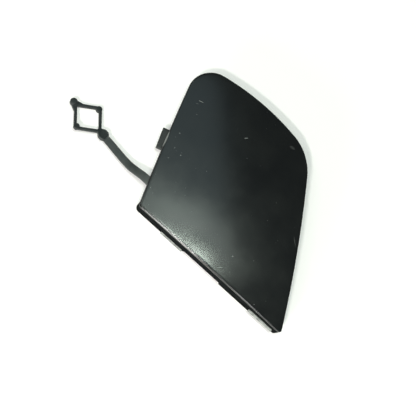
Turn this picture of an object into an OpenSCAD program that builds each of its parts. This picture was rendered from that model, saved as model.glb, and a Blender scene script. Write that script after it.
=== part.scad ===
// Bumper tow hook cover: one injection moulding with a crowned face, a return lip on its lower edge,
// a locating tab on its left edge, two snap arms at the back and a tether that ends in a diamond loop.
// Millimetres. The face looks up +Z, the lower edge runs along X, and lips, arms and loop stand on z = 0.

/* [Face outline] */
// straight lower edge, from the left corner to the tip
edge_len = 87.5; // [60:0.5:130]
// x of the left corner
edge_x0 = -0.4; // [-5:0.1:5]
// x of the corner at the upper right, before rounding
right_x = 43.2; // [30:0.1:80]
// y of the corner at the upper right, before rounding
right_y = 73; // [50:0.1:110]
// x of the corner at the upper left, before rounding
left_x = -24.3; // [-50:0.1:0]
// y of the corner at the upper left, before rounding
left_y = 71; // [50:0.1:110]
// outward bow of the right edge
bow_right = 0.9; // [0:0.05:5]
// outward bow of the top edge
bow_top = 4.7; // [0:0.05:10]
// outward bow of the left edge
bow_left = 0.7; // [0:0.05:5]
// rounding of the left corner, from corner to where it starts
round_left = 1.6; // [0.5:0.1:10]
// rounding of the tip, from corner to where it starts
round_tip = 2; // [0.5:0.1:10]
// rounding of the upper right corner, from corner to where it starts
round_right = 10.8; // [2:0.1:25]
// rounding of the upper left corner, from corner to where it starts
round_top = 12.5; // [2:0.1:25]

/* [Face section] */
// height of the lower edge above the plane the part lies on, at the left corner and the tip
body_h = 10.5; // [6:0.1:25]
// thickness of the face
skin_t = 2.4; // [1.5:0.1:4]
// radius of the crown from the lower edge to the top edge
crown_r = 300; // [150:5:800]
// y of the highest line of the crown
crown_y = 37; // [20:1:60]
// radius of the arch from the left corner to the tip
arch_r = 700; // [650:10:2000]
// radius of the fold between face and lip
fold_r = 1.1; // [0.3:0.1:3]

/* [Lip] */
// thickness of the lip
lip_t = 2; // [1.2:0.1:4]
// x where the shallow middle of the lip starts
notch_x0 = 28.4; // [15:0.1:50]
// x where the shallow middle of the lip ends
notch_x1 = 51.2; // [30:0.1:75]
// height of the shallow middle of the lip above the resting plane
notch_h = 2.7; // [0.5:0.1:8]
// run of the slanted ends of the shallow middle
notch_slant = 0.9; // [0:0.1:4]
// how far the left and the right hook toe reach out from the lip
toe_out = [0.8, 1.1]; // [0.3:0.1:3]
// height of each toe's flat top above the resting plane
toe_top = [1.9, 4.7]; // [1.2:0.1:8]
// height of a hook toe from its flat top to the foot of its slope
toe_h = 1.9; // [0.8:0.1:4]
// start and end of the left hook toe along the lip
toe_left = [15.4, 28.2]; // [5:0.1:60]
// start and end of the right hook toe along the lip
toe_right = [69.3, 83.6]; // [30:0.1:120]

/* [Locating tab] */
// y on the left edge where the tab is centred
tab_y = 32.7; // [15:0.1:60]
// length of the tab along the edge
tab_len = 10.4; // [4:0.1:25]
// how far the tab reaches out past the edge
tab_out = 2.8; // [1:0.1:8]
// how much less the tab reaches out at its lower end
tab_taper = 0.4; // [0:0.1:1.5]
// thickness of the tab
tab_t = 1.6; // [0.8:0.1:4]
// height of the tab's top above the resting plane
tab_top = 6.4; // [3:0.1:9]

/* [Snap arms] */
// x of each snap arm
arm_x = [-2, 31]; // [-20:0.5:60]
// y of the outer face of the arms
arm_y = 69.2; // [50:0.1:90]
// width of an arm
arm_w = 9; // [4:0.5:20]
// thickness of an arm
arm_t = 1.8; // [1:0.1:4]
// reach of the barb past the arm
barb_out = 1.6; // [0.5:0.1:4]
// height of the barb's catching edge above the resting plane
barb_h = 3.4; // [1:0.1:8]
// width and height of the gusset behind an arm
gusset = 5; // [2:0.5:10]
// thickness of ribs and gussets
rib_t = 1.4; // [0.8:0.1:3]
// height of the lower edge of the ribs above the resting plane
rib_z = 7; // [4:0.1:9]

/* [Tether] */
// x of the tether's root at the left edge
root_x = -4.5; // [-15:0.1:5]
// y of the tether's root at the left edge
root_y = 11.5; // [5:0.1:40]
// angle of the tether to the lower edge, seen from above
tether_angle = 6.7; // [-30:0.1:30]
// height of the tether's middle line at its root
root_z = 7.9; // [3:0.1:8]
// width of the tether at its root
tether_w0 = 4; // [2:0.1:8]
// width of the tether at the loop
tether_w1 = 3.4; // [2:0.1:8]
// thickness of the tether
tether_t = 1.7; // [0.8:0.1:4]
// distance from root to the bend
bend_u = 12.5; // [5:0.5:25]
// height of the tether's middle line at the bend
bend_z = 4.2; // [1:0.1:8]
// sideways sway of the tether at its root
sway_root = 0.7; // [-2:0.1:2]
// sideways sway of the tether at the bend
sway_bend = -0.5; // [-2:0.1:2]
// length of the tether part inside the face's outline
tether_in = 6; // [2:0.5:12]

/* [Anchor loop] */
// distance from root to the near corner of the diamond
loop_u = 32.3; // [15:0.1:60]
// length of the diamond between the middles of its bars
loop_len = 16.8; // [8:0.1:30]
// width of the diamond between the middles of its bars
loop_w = 16; // [8:0.1:30]
// twist of the diamond about the tether, so that one side corner touches the table
loop_twist = 11; // [0:0.5:20]
// slope of the diamond down towards the knob
loop_dip = 3; // [0:0.5:10]
// width of a bar
bar_w = 1.4; // [0.8:0.1:3]
// height of a bar
bar_h = 2; // [1:0.1:4]
// radius of the round knob at the far corner
knob_r = 1.8; // [1:0.1:4]
// height of the knob
knob_h = 2.8; // [1:0.1:5]
// radius of the round swellings at the side corners
nub_r = 1.45; // [0.8:0.05:2.5]
// how far the swellings sit inside the side corners
nub_in = 0.9; // [0.3:0.05:2]
// length of the webs between the knob and the bars
web_len = 3.2; // [1.5:0.1:6]
// half width of the shoulders at the near corner
shoulder_w = 2.4; // [1:0.1:5]

/* [Hidden] */
$fa = 6;
$fs = 0.4;
eps = 0.01;
edge_x1 = edge_x0 + edge_len;
arch_x = (edge_x0 + edge_x1) / 2;
arch_rise = arch_r - sqrt(pow(arch_r, 2) - pow(edge_len / 2, 2));
crown_rise = crown_r - sqrt(pow(crown_r, 2) - pow(crown_y, 2));
axis_r = arch_r - body_h - arch_rise;
arch_span = 16;
corner = [[edge_x0, 0], [edge_x1, 0], [right_x, right_y], [left_x, left_y]];
bow = [0, bow_right, bow_top, bow_left];
cut = [round_left, round_tip, round_right, round_top];
arc_n = 10;
edge_n = [1, 9, 11, 8];

// point and direction on bowed edge i at distance s from its start
function vec(i) = corner[(i + 1) % 4] - corner[i];
function len_of(i) = norm(vec(i));
function dir_of(i) = vec(i) / len_of(i);
function out_of(i) = [dir_of(i)[1], -dir_of(i)[0]];
function on_edge(i, s) = corner[i] + dir_of(i) * s
    + out_of(i) * 4 * bow[i] * (s / len_of(i)) * (1 - s / len_of(i));
function slope(i, s) = dir_of(i) + out_of(i) * 4 * bow[i] * (1 - 2 * s / len_of(i)) / len_of(i);
function unit(v) = v / norm(v);

// rounded corner i as one smooth curve between its two bowed edges
function bez(a, b, c, d, t) =
    pow(1 - t, 3) * a + 3 * pow(1 - t, 2) * t * b
    + 3 * (1 - t) * t * t * c + pow(t, 3) * d;
function turn(i) =
    let (h = (i + 3) % 4)
    acos(unit(slope(h, len_of(h) - cut[i])) * unit(slope(i, cut[i])));
function grip(i) = 4 / 3 * tan(turn(i) / 4) / tan(turn(i) / 2) * cut[i];
function round_at(i) =
    let (h = (i + 3) % 4)
    let (a = on_edge(h, len_of(h) - cut[i]))
    let (d = on_edge(i, cut[i]))
    let (b = a + unit(slope(h, len_of(h) - cut[i])) * grip(i))
    let (c = d - unit(slope(i, cut[i])) * grip(i))
    [for (k = [0 : arc_n]) bez(a, b, c, d, k / arc_n)];
function along(i) =
    let (run = len_of(i) - cut[i] - cut[(i + 1) % 4])
    [for (k = [1 : 1 : edge_n[i] - 1]) on_edge(i, cut[i] + run * k / edge_n[i])];
outline = [for (i = [0 : 3]) each concat(round_at(i), along(i))];

// the diamond's near corner hangs so high that its low side corner just touches the resting plane
side_reach = loop_w / 2 - nub_in + nub_r;
loop_z = side_reach * sin(loop_twist) + bar_h / 2 * cos(loop_twist)
    + loop_len / 2 * sin(loop_dip) + 0.05;

// tether middle line in its own plane: u outwards from the root, z up
function chain(pts, t) = concat(
    [for (p = pts) [p[0], p[1] + t / 2]],
    [for (k = [len(pts) - 1 : -1 : 0]) [pts[k][0], pts[k][1] - t / 2]]);
function soft(a, b, c, n) =
    [for (k = [0 : n])
        let (t = k / n)
        (1 - t) * (1 - t) * a + 2 * (1 - t) * t * b + t * t * c];
function rounded_bend(a, b, c, run) = soft(b - unit(b - a) * run, b, b + unit(c - b) * run, 5);
line_in = [-tether_in, root_z];
line_root = [2, root_z];
line_bend = [bend_u, bend_z];
line_loop = [loop_u - 3, loop_z + 3 * tan(loop_dip)];
line_end = [loop_u, loop_z];
tether_line = concat(
    [line_in],
    rounded_bend(line_in, line_root, line_bend, 3),
    rounded_bend(line_root, line_bend, line_loop, 3),
    rounded_bend(line_bend, line_loop, line_end, 2.5),
    [line_end]);

// the strap sways a little from side to side on its way to the loop
function eased(a, b, t) = a + (b - a) * (1 - cos(180 * t)) / 2;
function sway(u) =
    u < bend_u
        ? eased(sway_root, sway_bend, max(u, 0) / bend_u)
        : eased(sway_bend, 0, (u - bend_u) / (loop_u - bend_u));
function half_w(u) = (tether_w0 + (tether_w1 - tether_w0) * max(u, 0) / loop_u) / 2;
strap_stations = concat(
    [-tether_in, 0],
    [for (k = [1 : 6]) bend_u * k / 6],
    [for (k = [1 : 8]) bend_u + (loop_u - bend_u) * k / 8]);

// where the whole part sits: the middle of its footprint is the origin
function turned(u) = root_x - u * cos(tether_angle);
knob_u = loop_u + loop_len + 1.5;
knob_top_u = loop_u + (knob_u - loop_u) * cos(loop_dip) + (knob_h - bar_h / 2) * sin(loop_dip);
knob_lean = (knob_h - bar_h / 2) * sin(loop_twist) * sin(tether_angle);
x_lo = turned(knob_top_u) + knob_lean - knob_r;
x_hi = max([for (p = outline) p[0]]);
y_lo = -max(toe_out);
y_hi = max([for (p = outline) p[1]]);
home = [-(x_lo + x_hi) / 2, -(y_lo + y_hi) / 2, 0];

// a solid of revolution about a line far below the part: the arch in X of any profile drawn in (height, y)
module arched() {
    translate([arch_x, 0, -axis_r])
        rotate([-90, 0, 0])
            rotate([0, 0, -90 - arch_span / 2])
                rotate_extrude(angle = arch_span, $fn = 720)
                    children();
}

// profile under the crown, drop below its surface, from y0 on
module crown_profile(drop, y0) {
    intersection() {
        translate([axis_r + body_h + arch_rise + crown_rise - crown_r, crown_y])
            circle(r = crown_r - drop, $fn = 480);
        translate([axis_r - 30, y0])
            square([60, right_y + bow_top + 20]);
    }
}

// everything outside the fold between face and lip, as points on its arc
module fold_profile() {
    rise = asin((crown_y - fold_r) / crown_r);
    crown_centre = axis_r + body_h + arch_rise + crown_rise - crown_r;
    reach = crown_r - fold_r;
    top = crown_centre + reach * cos(asin((crown_y - fold_r) / reach));
    step = (90 - rise) / 7;
    arc = [for (k = [0 : 7])
        [top + fold_r * sin(k * step), fold_r - fold_r * cos(k * step)]];
    polygon(concat(
        [[top - 3, -2], [top - 3, 0], [top - 1.5, 0]],
        arc,
        [[top + fold_r + 2, fold_r + 0.05], [top + fold_r + 2, -2]]));
}

module face_profile() {
    difference() {
        crown_profile(0, 0);
        crown_profile(skin_t, lip_t);
        fold_profile();
    }
}

module shell() {
    intersection() {
        arched()
            face_profile();
        linear_extrude(height = body_h + arch_rise + crown_rise + 5)
            polygon(outline);
    }
}

// the lip is cut back over its middle, with slanted ends
module notch() {
    translate([0, lip_t + 0.5, 0])
        rotate([90, 0, 0])
            linear_extrude(height = lip_t + 2)
                polygon([
                    [notch_x0 - eps, -1],
                    [notch_x0, 0],
                    [notch_x0 + notch_slant, notch_h],
                    [notch_x1 - notch_slant / 3, notch_h],
                    [notch_x1, 0],
                    [notch_x1 + eps, -1]
                ]);
}

// hook toe on the lip's outer side, flat on top and sloped below to slip behind the ledge
module toe(span, top, reach) {
    translate([span[0], 0, top])
        rotate([90, 0, 90])
            linear_extrude(height = span[1] - span[0])
                polygon([
                    [lip_t / 2, -toe_h],
                    [0, -toe_h],
                    [-reach, -toe_h * 0.4],
                    [-reach, 0],
                    [lip_t / 2, 0]
                ]);
}

// snap arm with its barb turned out to the top edge, and a gusset behind it
module snap_arm(x) {
    translate([x - arm_w / 2, arm_y, 0])
        rotate([90, 0, 90])
            linear_extrude(height = arm_w)
                polygon([
                    [-arm_t, 0],
                    [-0.2, 0],
                    [barb_out, barb_h - 0.8],
                    [barb_out, barb_h],
                    [0, barb_h + 0.3],
                    [0, body_h + 4],
                    [-arm_t, body_h + 4]
                ]);
    translate([x - rib_t / 2, arm_y - arm_t, 0])
        rotate([90, 0, 90])
            linear_extrude(height = rib_t)
                polygon([
                    [0.2, rib_z - gusset],
                    [-gusset, rib_z],
                    [-gusset, body_h + 4],
                    [0.2, body_h + 4]
                ]);
}

// shallow rib under the face, from the lip to an arm
module rib(x) {
    translate([x - rib_t / 2, lip_t - 0.5, rib_z])
        cube([rib_t, arm_y - lip_t, body_h]);
}

// tongue that reaches out past the left edge, hung from the face by its own web
module locating_tab() {
    at = (left_y - tab_y) / (left_y) * len_of(3);
    p = on_edge(3, at);
    d = unit(slope(3, at));
    translate([p[0], p[1], 0])
        rotate([0, 0, atan2(d[1], d[0])])
            translate([-tab_len / 2, 0, 0]) {
                translate([0, 0, tab_top - tab_t])
                    linear_extrude(height = tab_t)
                        polygon([
                            [0, -tab_out],
                            [tab_len, tab_taper - tab_out],
                            [tab_len, 3.4],
                            [0, 3.4]
                        ]);
                translate([0, 1.8, tab_top - tab_t])
                    cube([tab_len, 1.6, body_h]);
            }
}

// parts that hang under the face, trimmed inside its thickness
module hung() {
    intersection() {
        arched()
            crown_profile(skin_t / 2, -5);
        union() {
            snap_arm(arm_x[0]);
            snap_arm(arm_x[1]);
            rib(arm_x[0]);
            rib(arm_x[1]);
            locating_tab();
            tether_frame()
                translate([-tether_in, sway_root - tether_w0 / 2 - 0.6, root_z - tether_t / 2])
                    cube([tether_in - 2, tether_w0 + 1.2, body_h]);
        }
    }
}

module tether_frame() {
    translate([root_x, root_y, 0])
        rotate([0, 0, 180 - tether_angle])
            mirror([0, 1, 0])
                children();
}

// flat strap: its side view swept across, trimmed to its tapered plan
module strap() {
    intersection() {
        rotate([90, 0, 0])
            linear_extrude(height = tether_w0 + 2, center = true)
                polygon(chain(tether_line, tether_t));
        linear_extrude(height = body_h)
            polygon(concat(
                [for (u = strap_stations) [u, sway(u) - half_w(u)]],
                [for (k = [len(strap_stations) - 1 : -1 : 0])
                    let (u = strap_stations[k])
                    [u, sway(u) + half_w(u)]]));
    }
}

// diamond with its near corner at u, grown outwards by g
module diamond(g) {
    grow_u = g / sin(atan2(loop_w, loop_len));
    grow_w = g / cos(atan2(loop_w, loop_len));
    translate([loop_u + loop_len / 2, 0])
        polygon([
            [-loop_len / 2 - grow_u, 0],
            [0, -loop_w / 2 - grow_w],
            [loop_len / 2 + grow_u, 0],
            [0, loop_w / 2 + grow_w]
        ]);
}

// webs that run from the knob into the two bars beside it
module knob_web() {
    lean = atan2(loop_w, loop_len);
    far = loop_u + loop_len;
    web_u = far - web_len * cos(lean) + bar_w / 2 * sin(lean);
    web_v = web_len * sin(lean) + bar_w / 2 * cos(lean);
    linear_extrude(height = bar_h)
        polygon([
            [web_u, web_v],
            [far - 1.2, 0],
            [web_u, -web_v],
            [knob_u - 0.5, 0.1 - knob_r],
            [knob_u - 0.5, knob_r - 0.1]
        ]);
}

// diamond loop with knob, side swellings and shoulders, twisted and dipped about its near corner
module anchor_loop() {
    translate([loop_u, 0, loop_z])
        rotate([0, loop_dip, 0])
            rotate([-loop_twist, 0, 0])
                translate([-loop_u, 0, -bar_h / 2]) {
                    linear_extrude(height = bar_h)
                        intersection() {
                            difference() {
                                diamond(bar_w / 2);
                                diamond(-bar_w / 2);
                            }
                            translate([loop_u - 5, -side_reach + 0.25])
                                square([loop_len + 10, 2 * side_reach - 0.5]);
                        }
                    for (s = [-1, 1])
                        translate([loop_u + loop_len / 2, s * (loop_w / 2 - nub_in), 0])
                            cylinder(r = nub_r, h = bar_h + 0.3);
                    translate([knob_u, 0, 0])
                        cylinder(r = knob_r, h = knob_h);
                    knob_web();
                    linear_extrude(height = bar_h + 0.4)
                        polygon([
                            [loop_u - 4.2, -tether_w1 / 2],
                            [loop_u - 3.2, -shoulder_w],
                            [loop_u - 1.2, -shoulder_w],
                            [loop_u + 1.3, 0],
                            [loop_u - 1.2, shoulder_w],
                            [loop_u - 3.2, shoulder_w],
                            [loop_u - 4.2, tether_w1 / 2]
                        ]);
                }
}

module cover() {
    color([0.03, 0.033, 0.036])
        translate(home)
            union() {
                difference() {
                    shell();
                    notch();
                }
                toe(toe_left, toe_top[0], toe_out[0]);
                toe(toe_right, toe_top[1], toe_out[1]);
                hung();
                tether_frame() {
                    strap();
                    anchor_loop();
                }
            }
}

cover();
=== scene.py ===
import math
import bmesh
import bpy
from mathutils import Euler, Matrix, Vector
from mathutils.geometry import delaunay_2d_cdt


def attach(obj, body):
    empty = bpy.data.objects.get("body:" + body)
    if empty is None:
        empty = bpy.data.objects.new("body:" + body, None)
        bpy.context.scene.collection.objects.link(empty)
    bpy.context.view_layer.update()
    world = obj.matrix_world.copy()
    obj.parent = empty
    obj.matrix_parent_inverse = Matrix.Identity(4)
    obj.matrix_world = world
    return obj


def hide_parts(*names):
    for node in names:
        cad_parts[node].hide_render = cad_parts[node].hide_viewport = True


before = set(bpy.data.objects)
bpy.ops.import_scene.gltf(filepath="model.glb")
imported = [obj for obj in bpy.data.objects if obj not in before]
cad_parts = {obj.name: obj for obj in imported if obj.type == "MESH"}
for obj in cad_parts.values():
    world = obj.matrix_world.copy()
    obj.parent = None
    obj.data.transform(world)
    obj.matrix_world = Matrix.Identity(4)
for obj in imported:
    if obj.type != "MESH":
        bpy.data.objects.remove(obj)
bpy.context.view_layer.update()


MM = 0.001
PLAN_HOME = Vector((-14.8518, -37.8233))  # the plan's own origin, in mm from the frame's
# corners before rounding, then what belongs to each edge or corner, from the lower edge and left corner round
FACE_CORNERS = [Vector(c) for c in ((-0.4, 0.0), (87.1, 0.0), (43.2, 73.0), (-24.3, 71.0))]
FACE_BOWS = (0.0, 0.9, 4.7, 0.7)
FACE_ROUNDS = (1.6, 2.0, 10.8, 12.5)
FACE_TURN_STEPS = (10, 12, 22, 24)
FACE_EDGE_STEPS = (112, 90, 62, 84)
LEAST_STEP = 0.3
LEAST_ROUND = 0.3
FACE_THICKNESS = 2.4
RIM_RADIUS = 0.5
FOLD_RADIUS = 1.1
LIP_THICKNESS = 2.0
LIP_NOTCH = ((28.4, 0.0), (29.3, 2.7), (50.9, 2.7), (51.2, 0.0))  # places along the lip, and its foot there
LIP_LEVELS = (1 / 3, 2 / 3, 1.0)
FLAT_DEPTHS = (3.2, 2.2, 1.6)  # rings of points, in from the outline
RING_DEPTHS = (0.01, 0.3, 0.6, 1.1) + FLAT_DEPTHS[::-1]
RIM_STEPS = 8
FACE_SPACING = 1.6
UNDERSIDE_SPACING = 3.0
SPACING_ROW = 0.866  # as shares of the spacing: from row to row, and clear of the border
SPACING_GAP = 0.55
CROWN_SIZES = {
    "Crown radius": 300 * MM,
    "Crown line": (37 + PLAN_HOME.y) * MM,
    "Crown rise": 2.2904 * MM,
    "Arch radius": 700 * MM,
    "Arch line": (43.35 + PLAN_HOME.x) * MM,
    "Arch top": 11.867 * MM,
}


def chord(corners, i):
    run = corners[(i + 1) % 4] - corners[i]
    return corners[i], run.normalized(), run.length


def bowed_point(corners, bows, i, s):
    start, along, length = chord(corners, i)
    out = Vector((along.y, -along.x))
    return start + along * s + out * 4 * bows[i] * (s / length) * (1 - s / length)


def bowed_slope(corners, bows, i, s):
    start, along, length = chord(corners, i)
    out = Vector((along.y, -along.x))
    return (along + out * 4 * bows[i] * (1 - 2 * s / length) / length).normalized()


def inset_corners(inset):
    shifts = [inset] * 4
    for _ in range(3):
        lines = []
        for i in range(4):
            start, along, _ = chord(FACE_CORNERS, i)
            lines.append((start + Vector((-along.y, along.x)) * shifts[i], along))
        corners = []
        for i in range(4):
            (p, u), (q, w) = lines[(i + 3) % 4], lines[i]
            t = ((q.x - p.x) * w.y - (q.y - p.y) * w.x) / (u.x * w.y - u.y * w.x)
            corners.append(p + u * t)
        shares = [chord(corners, i)[2] / chord(FACE_CORNERS, i)[2] for i in range(4)]
        bows = [FACE_BOWS[i] * shares[i] ** 2 for i in range(4)]
        shifts = [inset - (FACE_BOWS[i] - bows[i]) for i in range(4)]
    return corners, bows


def where_lip_ends(i, from_start):
    """How far along edge i the lip's inner side meets the outline, found by halving."""
    length = chord(FACE_CORNERS, i)[2]
    low, high = 0.0, 4 * LIP_THICKNESS
    for _ in range(40):
        middle = (low + high) / 2
        s = middle if from_start else length - middle
        if bowed_point(FACE_CORNERS, FACE_BOWS, i, s).y < LIP_THICKNESS:
            low = middle
        else:
            high = middle
    return low


def steps_along(i):
    length = chord(FACE_CORNERS, i)[2]
    first, last = FACE_ROUNDS[i], length - FACE_ROUNDS[(i + 1) % 4]
    low, high = first, last
    stops = []
    if i == 1:
        low = where_lip_ends(1, True)
        stops.append(low)
    if i == 3:
        high = length - where_lip_ends(3, False)
        stops.append(high)
    if i == 0:
        stops += [x - FACE_CORNERS[0].x for x, _ in LIP_NOTCH]
        stops.append((LIP_NOTCH[0][0] + LIP_NOTCH[1][0]) / 2 - FACE_CORNERS[0].x)
    count = FACE_EDGE_STEPS[i]
    for k in range(1, count):
        s = low + (high - low) * k / count
        if all(abs(s - stop) > LEAST_STEP for stop in stops):
            stops.append(s)
    return [(s - first) / (last - first) for s in sorted(stops)]


EDGE_STOPS = [steps_along(i) for i in range(4)]


def face_ring(inset):
    """Points round the face's outline, moved in by inset. All rings have the same number of points."""
    corners, bows = inset_corners(inset)
    cuts, grips = [], []
    for i in range(4):
        h = (i + 3) % 4
        before = bowed_slope(FACE_CORNERS, FACE_BOWS, h, chord(FACE_CORNERS, h)[2] - FACE_ROUNDS[i])
        after = bowed_slope(FACE_CORNERS, FACE_BOWS, i, FACE_ROUNDS[i])
        turn = before.angle(after)
        cut = max(FACE_ROUNDS[i] - inset * math.tan(turn / 2), LEAST_ROUND)
        cuts.append(cut)
        grips.append(4 / 3 * math.tan(turn / 4) / math.tan(turn / 2) * cut)
    ring = []
    for i in range(4):
        h = (i + 3) % 4
        length_h = chord(corners, h)[2]
        a = bowed_point(corners, bows, h, length_h - cuts[i])
        d = bowed_point(corners, bows, i, cuts[i])
        b = a + bowed_slope(corners, bows, h, length_h - cuts[i]) * grips[i]
        c = d - bowed_slope(corners, bows, i, cuts[i]) * grips[i]
        for k in range(FACE_TURN_STEPS[i] + 1):
            t = k / FACE_TURN_STEPS[i]
            ring.append(a * (1 - t) ** 3 + b * 3 * (1 - t) ** 2 * t + c * 3 * (1 - t) * t * t + d * t ** 3)
        run = chord(corners, i)[2] - cuts[i] - cuts[(i + 1) % 4]
        for stop in EDGE_STOPS[i]:
            ring.append(bowed_point(corners, bows, i, cuts[i] + run * stop))
    return ring


def turn_faces_out(mesh):
    solid = bmesh.new()
    solid.from_mesh(mesh)
    bmesh.ops.recalc_face_normals(solid, faces=solid.faces)
    solid.to_mesh(mesh)
    solid.free()


class FlatPlan:
    """Points of a piece in plan. hang is the share of the crown's height that lifts a point."""

    def __init__(self):
        self.points, self.hangs, self.faces, self.sides = [], [], [], []

    def point(self, xy, z, hang):
        self.points.append(((xy[0] + PLAN_HOME.x) * MM, (xy[1] + PLAN_HOME.y) * MM, z * MM))
        self.hangs.append(hang)
        return len(self.points) - 1

    def face(self, corners, side="polished side"):
        kept = []
        for c in corners:
            if c not in kept:
                kept.append(c)
        if len(kept) > 2:
            self.faces.append(kept)
            self.sides.append(side)

    def strip(self, rows_a, rows_b, side="polished side"):
        for k in range(len(rows_a) - 1):
            self.face((rows_a[k], rows_b[k], rows_b[k + 1], rows_a[k + 1]), side)

    def fill(self, border, spacing, z, hang, side="polished side"):
        flat = [Vector(self.points[i][:2]) / MM - PLAN_HOME for i in border]
        low = Vector((min(p.x for p in flat), min(p.y for p in flat)))
        high = Vector((max(p.x for p in flat), max(p.y for p in flat)))
        spots = []
        rows = int((high.y - low.y) / (spacing * SPACING_ROW)) + 1
        for row in range(rows):
            y = low.y + row * spacing * SPACING_ROW
            crossings = []
            for k, p in enumerate(flat):
                q = flat[(k + 1) % len(flat)]
                if (p.y <= y) != (q.y <= y):
                    crossings.append(p.x + (y - p.y) / (q.y - p.y) * (q.x - p.x))
            crossings.sort()
            for start, end in zip(crossings[::2], crossings[1::2]):
                x = math.ceil(start / spacing) * spacing + (spacing / 2 if row % 2 else 0)
                while x < end:
                    if all((Vector((x, y)) - p).length > spacing * SPACING_GAP for p in flat):
                        spots.append(Vector((x, y)))
                    x += spacing
        ids = list(border) + [self.point(p, z, hang) for p in spots]
        inside_border, nearest = 1, 1e-6
        made = delaunay_2d_cdt(flat + spots, [], [list(range(len(flat)))], inside_border, nearest)
        _, _, triangles, origins, _, _ = made
        for triangle in triangles:
            self.face([ids[origins[v][0]] for v in triangle], side)

    def piece(self, name):
        mesh = bpy.data.meshes.new(name)
        mesh.from_pydata(self.points, [], self.faces)
        hang = mesh.attributes.new("hang", "FLOAT", "POINT")
        hang.data.foreach_set("value", self.hangs)
        for label in ("core side", "lip side"):
            mark = mesh.attributes.new(label, "BOOLEAN", "FACE")
            mark.data.foreach_set("value", [side == label for side in self.sides])
        turn_faces_out(mesh)
        made = bpy.data.objects.new(name, mesh)
        bpy.context.scene.collection.objects.link(made)
        return made


def notch_height(x):
    for (x0, z0), (x1, z1) in zip(LIP_NOTCH, LIP_NOTCH[1:]):
        if x0 <= x <= x1:
            return z0 + (z1 - z0) * (x - x0) / (x1 - x0)
    return 0.0


def number(tree, kind, a, b=None):
    """A sum on plain numbers or sockets."""
    made = tree.nodes.new("ShaderNodeMath")
    made.operation = kind
    for socket, value in zip(made.inputs, (a, b)):
        if value is None:
            continue
        if isinstance(value, (int, float)):
            socket.default_value = value
        else:
            tree.links.new(value, socket)
    return made.outputs[0]


def arc_height(tree, radius, aside):
    """Height of an arc over its centre, at a distance aside from it."""
    squares = [number(tree, "MULTIPLY", side, side) for side in (radius, aside)]
    return number(tree, "SQRT", number(tree, "SUBTRACT", *squares))


def crown_height_rule():
    rule = bpy.data.node_groups.new("crown height", "GeometryNodeTree")
    for label in CROWN_SIZES:
        rule.interface.new_socket(label, in_out="INPUT", socket_type="NodeSocketFloat")
    rule.interface.new_socket("Height", in_out="OUTPUT", socket_type="NodeSocketFloat")
    given = rule.nodes.new("NodeGroupInput").outputs
    place = rule.nodes.new("ShaderNodeSeparateXYZ")
    rule.links.new(rule.nodes.new("GeometryNodeInputPosition").outputs[0], place.inputs[0])
    from_crown = number(rule, "SUBTRACT", place.outputs["Y"], given["Crown line"])
    crown = arc_height(rule, given["Crown radius"], from_crown)
    crown_drop = number(rule, "SUBTRACT", crown, given["Crown radius"])
    reach = number(rule, "ADD", given["Arch radius"], number(rule, "ADD", given["Crown rise"], crown_drop))
    arch = arc_height(rule, reach, number(rule, "SUBTRACT", place.outputs["X"], given["Arch line"]))
    height = number(rule, "ADD", number(rule, "SUBTRACT", arch, given["Arch radius"]), given["Arch top"])
    rule.links.new(height, rule.nodes.new("NodeGroupOutput").inputs[0])
    return rule


CROWN_RULE = crown_height_rule()


def new_tree(name, sizes, materials=("Material",)):
    tree = bpy.data.node_groups.new(name, "GeometryNodeTree")
    tree.interface.new_socket("Geometry", in_out="INPUT", socket_type="NodeSocketGeometry")
    for label in sizes:
        tree.interface.new_socket(label, in_out="INPUT", socket_type="NodeSocketFloat")
    for label in materials:
        tree.interface.new_socket(label, in_out="INPUT", socket_type="NodeSocketMaterial")
    tree.interface.new_socket("Geometry", in_out="OUTPUT", socket_type="NodeSocketGeometry")
    return tree, tree.nodes.new("NodeGroupInput").outputs


def lift_to_crown(tree, given, shape):
    rule = tree.nodes.new("GeometryNodeGroup")
    rule.node_tree = CROWN_RULE
    for label in CROWN_SIZES:
        tree.links.new(given[label], rule.inputs[label])
    hang = tree.nodes.new("GeometryNodeInputNamedAttribute")
    hang.data_type = "FLOAT"
    hang.inputs["Name"].default_value = "hang"
    lift = tree.nodes.new("ShaderNodeCombineXYZ")
    tree.links.new(number(tree, "MULTIPLY", rule.outputs[0], hang.outputs[0]), lift.inputs["Z"])
    moved = tree.nodes.new("GeometryNodeSetPosition")
    tree.links.new(shape, moved.inputs["Geometry"])
    tree.links.new(lift.outputs[0], moved.inputs["Offset"])
    return moved.outputs[0]


def close_tree(tree, shape, material, other_sides=()):
    real = tree.nodes.new("GeometryNodeRealizeInstances")
    tree.links.new(shape, real.inputs["Geometry"])
    smooth = tree.nodes.new("GeometryNodeSetShadeSmooth")
    tree.links.new(real.outputs[0], smooth.inputs[0])
    skin = tree.nodes.new("GeometryNodeSetMaterial")
    tree.links.new(smooth.outputs[0], skin.inputs["Geometry"])
    tree.links.new(material, skin.inputs["Material"])
    shape = skin.outputs[0]
    for label, other_material in other_sides:
        side = tree.nodes.new("GeometryNodeInputNamedAttribute")
        side.data_type = "BOOLEAN"
        side.inputs["Name"].default_value = label
        other = tree.nodes.new("GeometryNodeSetMaterial")
        tree.links.new(shape, other.inputs["Geometry"])
        tree.links.new(side.outputs[0], other.inputs["Selection"])
        tree.links.new(other_material, other.inputs["Material"])
        shape = other.outputs[0]
    tree.links.new(shape, tree.nodes.new("NodeGroupOutput").inputs[0])


def run_tree(source, tree, values):
    maker = source.modifiers.new(tree.name, "NODES")
    maker.node_group = tree
    for socket in tree.interface.items_tree:
        if socket.in_out == "INPUT" and socket.name in values:
            maker[socket.identifier] = values[socket.name]
    return made_plain(source)


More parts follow.
